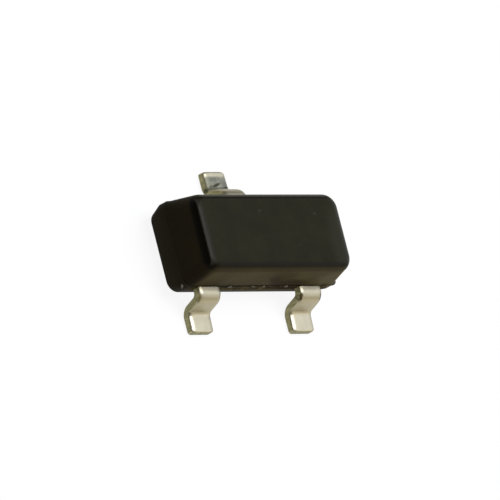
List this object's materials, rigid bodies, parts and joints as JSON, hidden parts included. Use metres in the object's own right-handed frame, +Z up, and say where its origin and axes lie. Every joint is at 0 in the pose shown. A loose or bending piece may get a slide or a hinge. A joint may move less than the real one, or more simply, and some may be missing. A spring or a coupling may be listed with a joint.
{
  "type": "sot-23 transistor",
  "caption": "Moulded surface-mount transistor: a drafted black epoxy body with gull-wing leads, a pair in front and one behind, and a wire-bonded die inside.",
  "frame": {"origin": "on the solder plane, under the middle of the part", "axes": "+X along the body, from the base lead to the emitter lead; +Y towards the collector lead; +Z up, away from the solder plane"},
  "size_m": [0.0028, 0.0022, 0.0009],
  "materials": {
    "moulded_epoxy": "fine matte moulded epoxy, near black and slightly warm",
    "tin_plate": "satin tin plate on the stamped strip",
    "silver_epoxy": "dull conductive adhesive",
    "silicon": "polished silicon",
    "gold_wire": "drawn gold wire"
  },
  "bodies": {
    "root": {"moulded_body": "moulded_epoxy", "base_lead": "tin_plate", "emitter_lead": "tin_plate", "collector_lead": "tin_plate", "die_attach": "silver_epoxy", "die": "silicon", "base_wire": "gold_wire", "emitter_wire": "gold_wire"}
  },
  "joints": []
}
